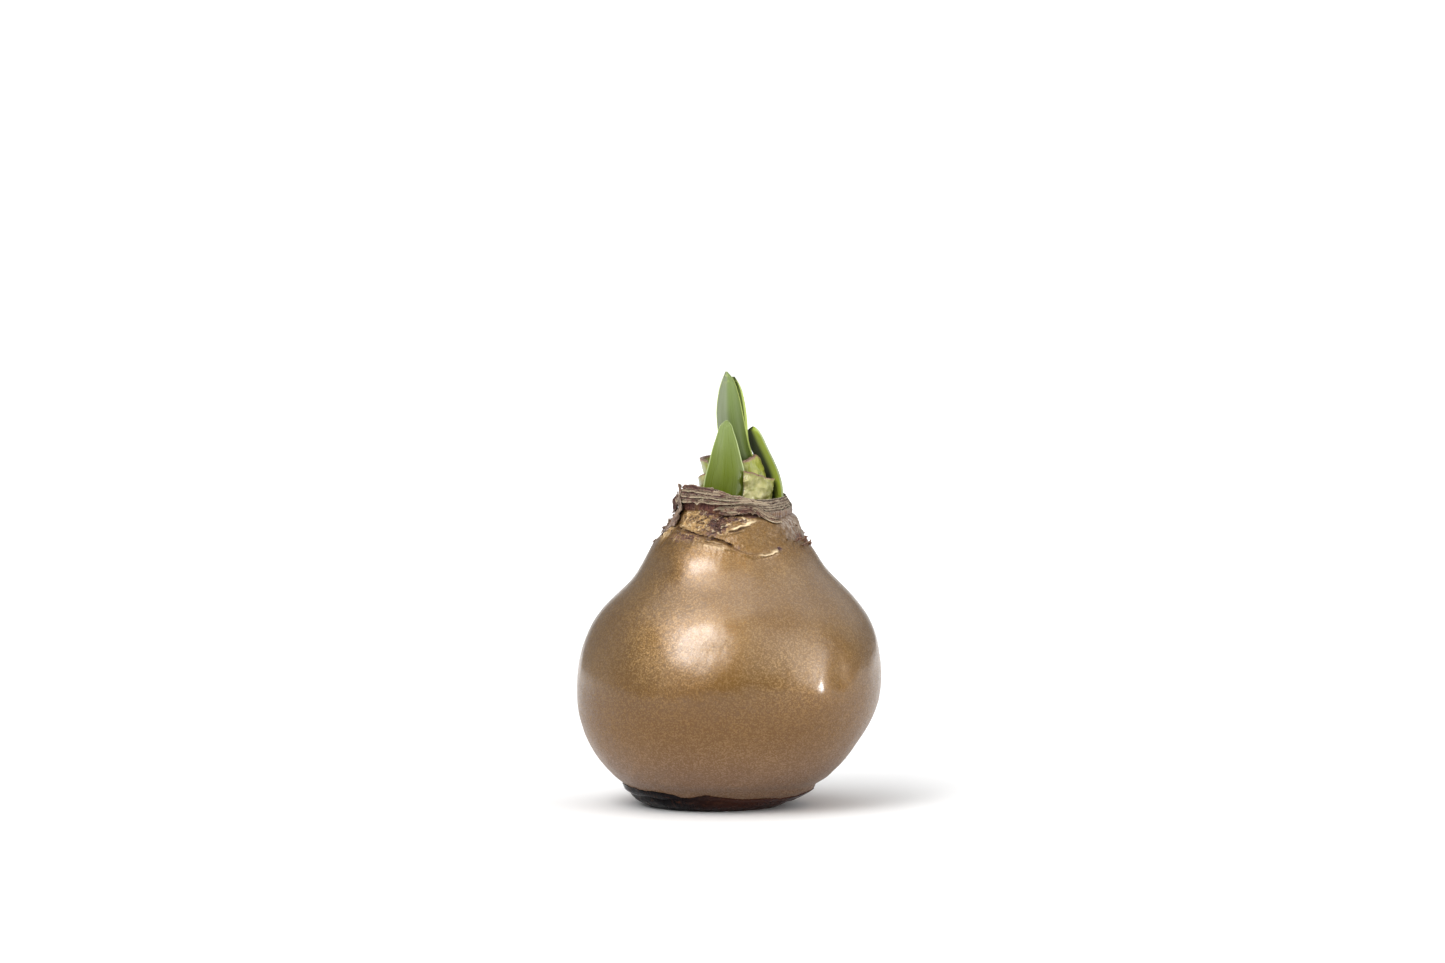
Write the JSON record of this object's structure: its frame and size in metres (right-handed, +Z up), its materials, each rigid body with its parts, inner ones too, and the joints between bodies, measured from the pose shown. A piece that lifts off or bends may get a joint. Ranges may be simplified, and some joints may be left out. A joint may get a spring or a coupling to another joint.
{
  "type": "waxed amaryllis bulb",
  "caption": "Amaryllis bulb in a coat of gold wax on a flat dark wax foot, with a papery brown neck, a bud in its spathe, young leaves and cut leaf bases.",
  "frame": {"origin": "on the surface the bulb stands on, under the middle of the body's widest extent", "axes": "+Z up, along the bulb's neck and shoots; -Y the front, where the broad young leaf grows; +X to the right"},
  "size_m": [0.0951, 0.0932, 0.1354],
  "materials": {
    "gold_wax": "bronze-gold pearlescent wax, satin",
    "dark_wax": "near-black wax, glossy",
    "bulb_scales": "brown to tan bulb scales with dry torn ends, matt",
    "dry_tunic": "dry papery brown skin, matt",
    "leaf_green": "fresh green leaf, satin",
    "bud_green": "grey-green spathe with a pale bloom, satin",
    "pale_leaf_base": "pale yellow-green cut leaf base, moist"
  },
  "bodies": {
    "root": {"wax_coat": "gold_wax", "dark_foot": "dark_wax", "bulb": "bulb_scales", "dry_outer_skin": "dry_tunic", "skin_flap_left": "dry_tunic", "skin_curl_left": "dry_tunic", "skin_flake_left": "dry_tunic", "skin_flake_right": "dry_tunic", "skin_strip_front": "dry_tunic", "leaf_front": "leaf_green", "leaf_right": "leaf_green", "bud_bract_front": "bud_green", "bud_bract_back": "bud_green", "leaf_stump_right_outer": "pale_leaf_base", "leaf_stump_right_inner": "pale_leaf_base", "leaf_stump_left_outer": "pale_leaf_base", "leaf_stump_left_inner": "pale_leaf_base"}
  },
  "joints": []
}
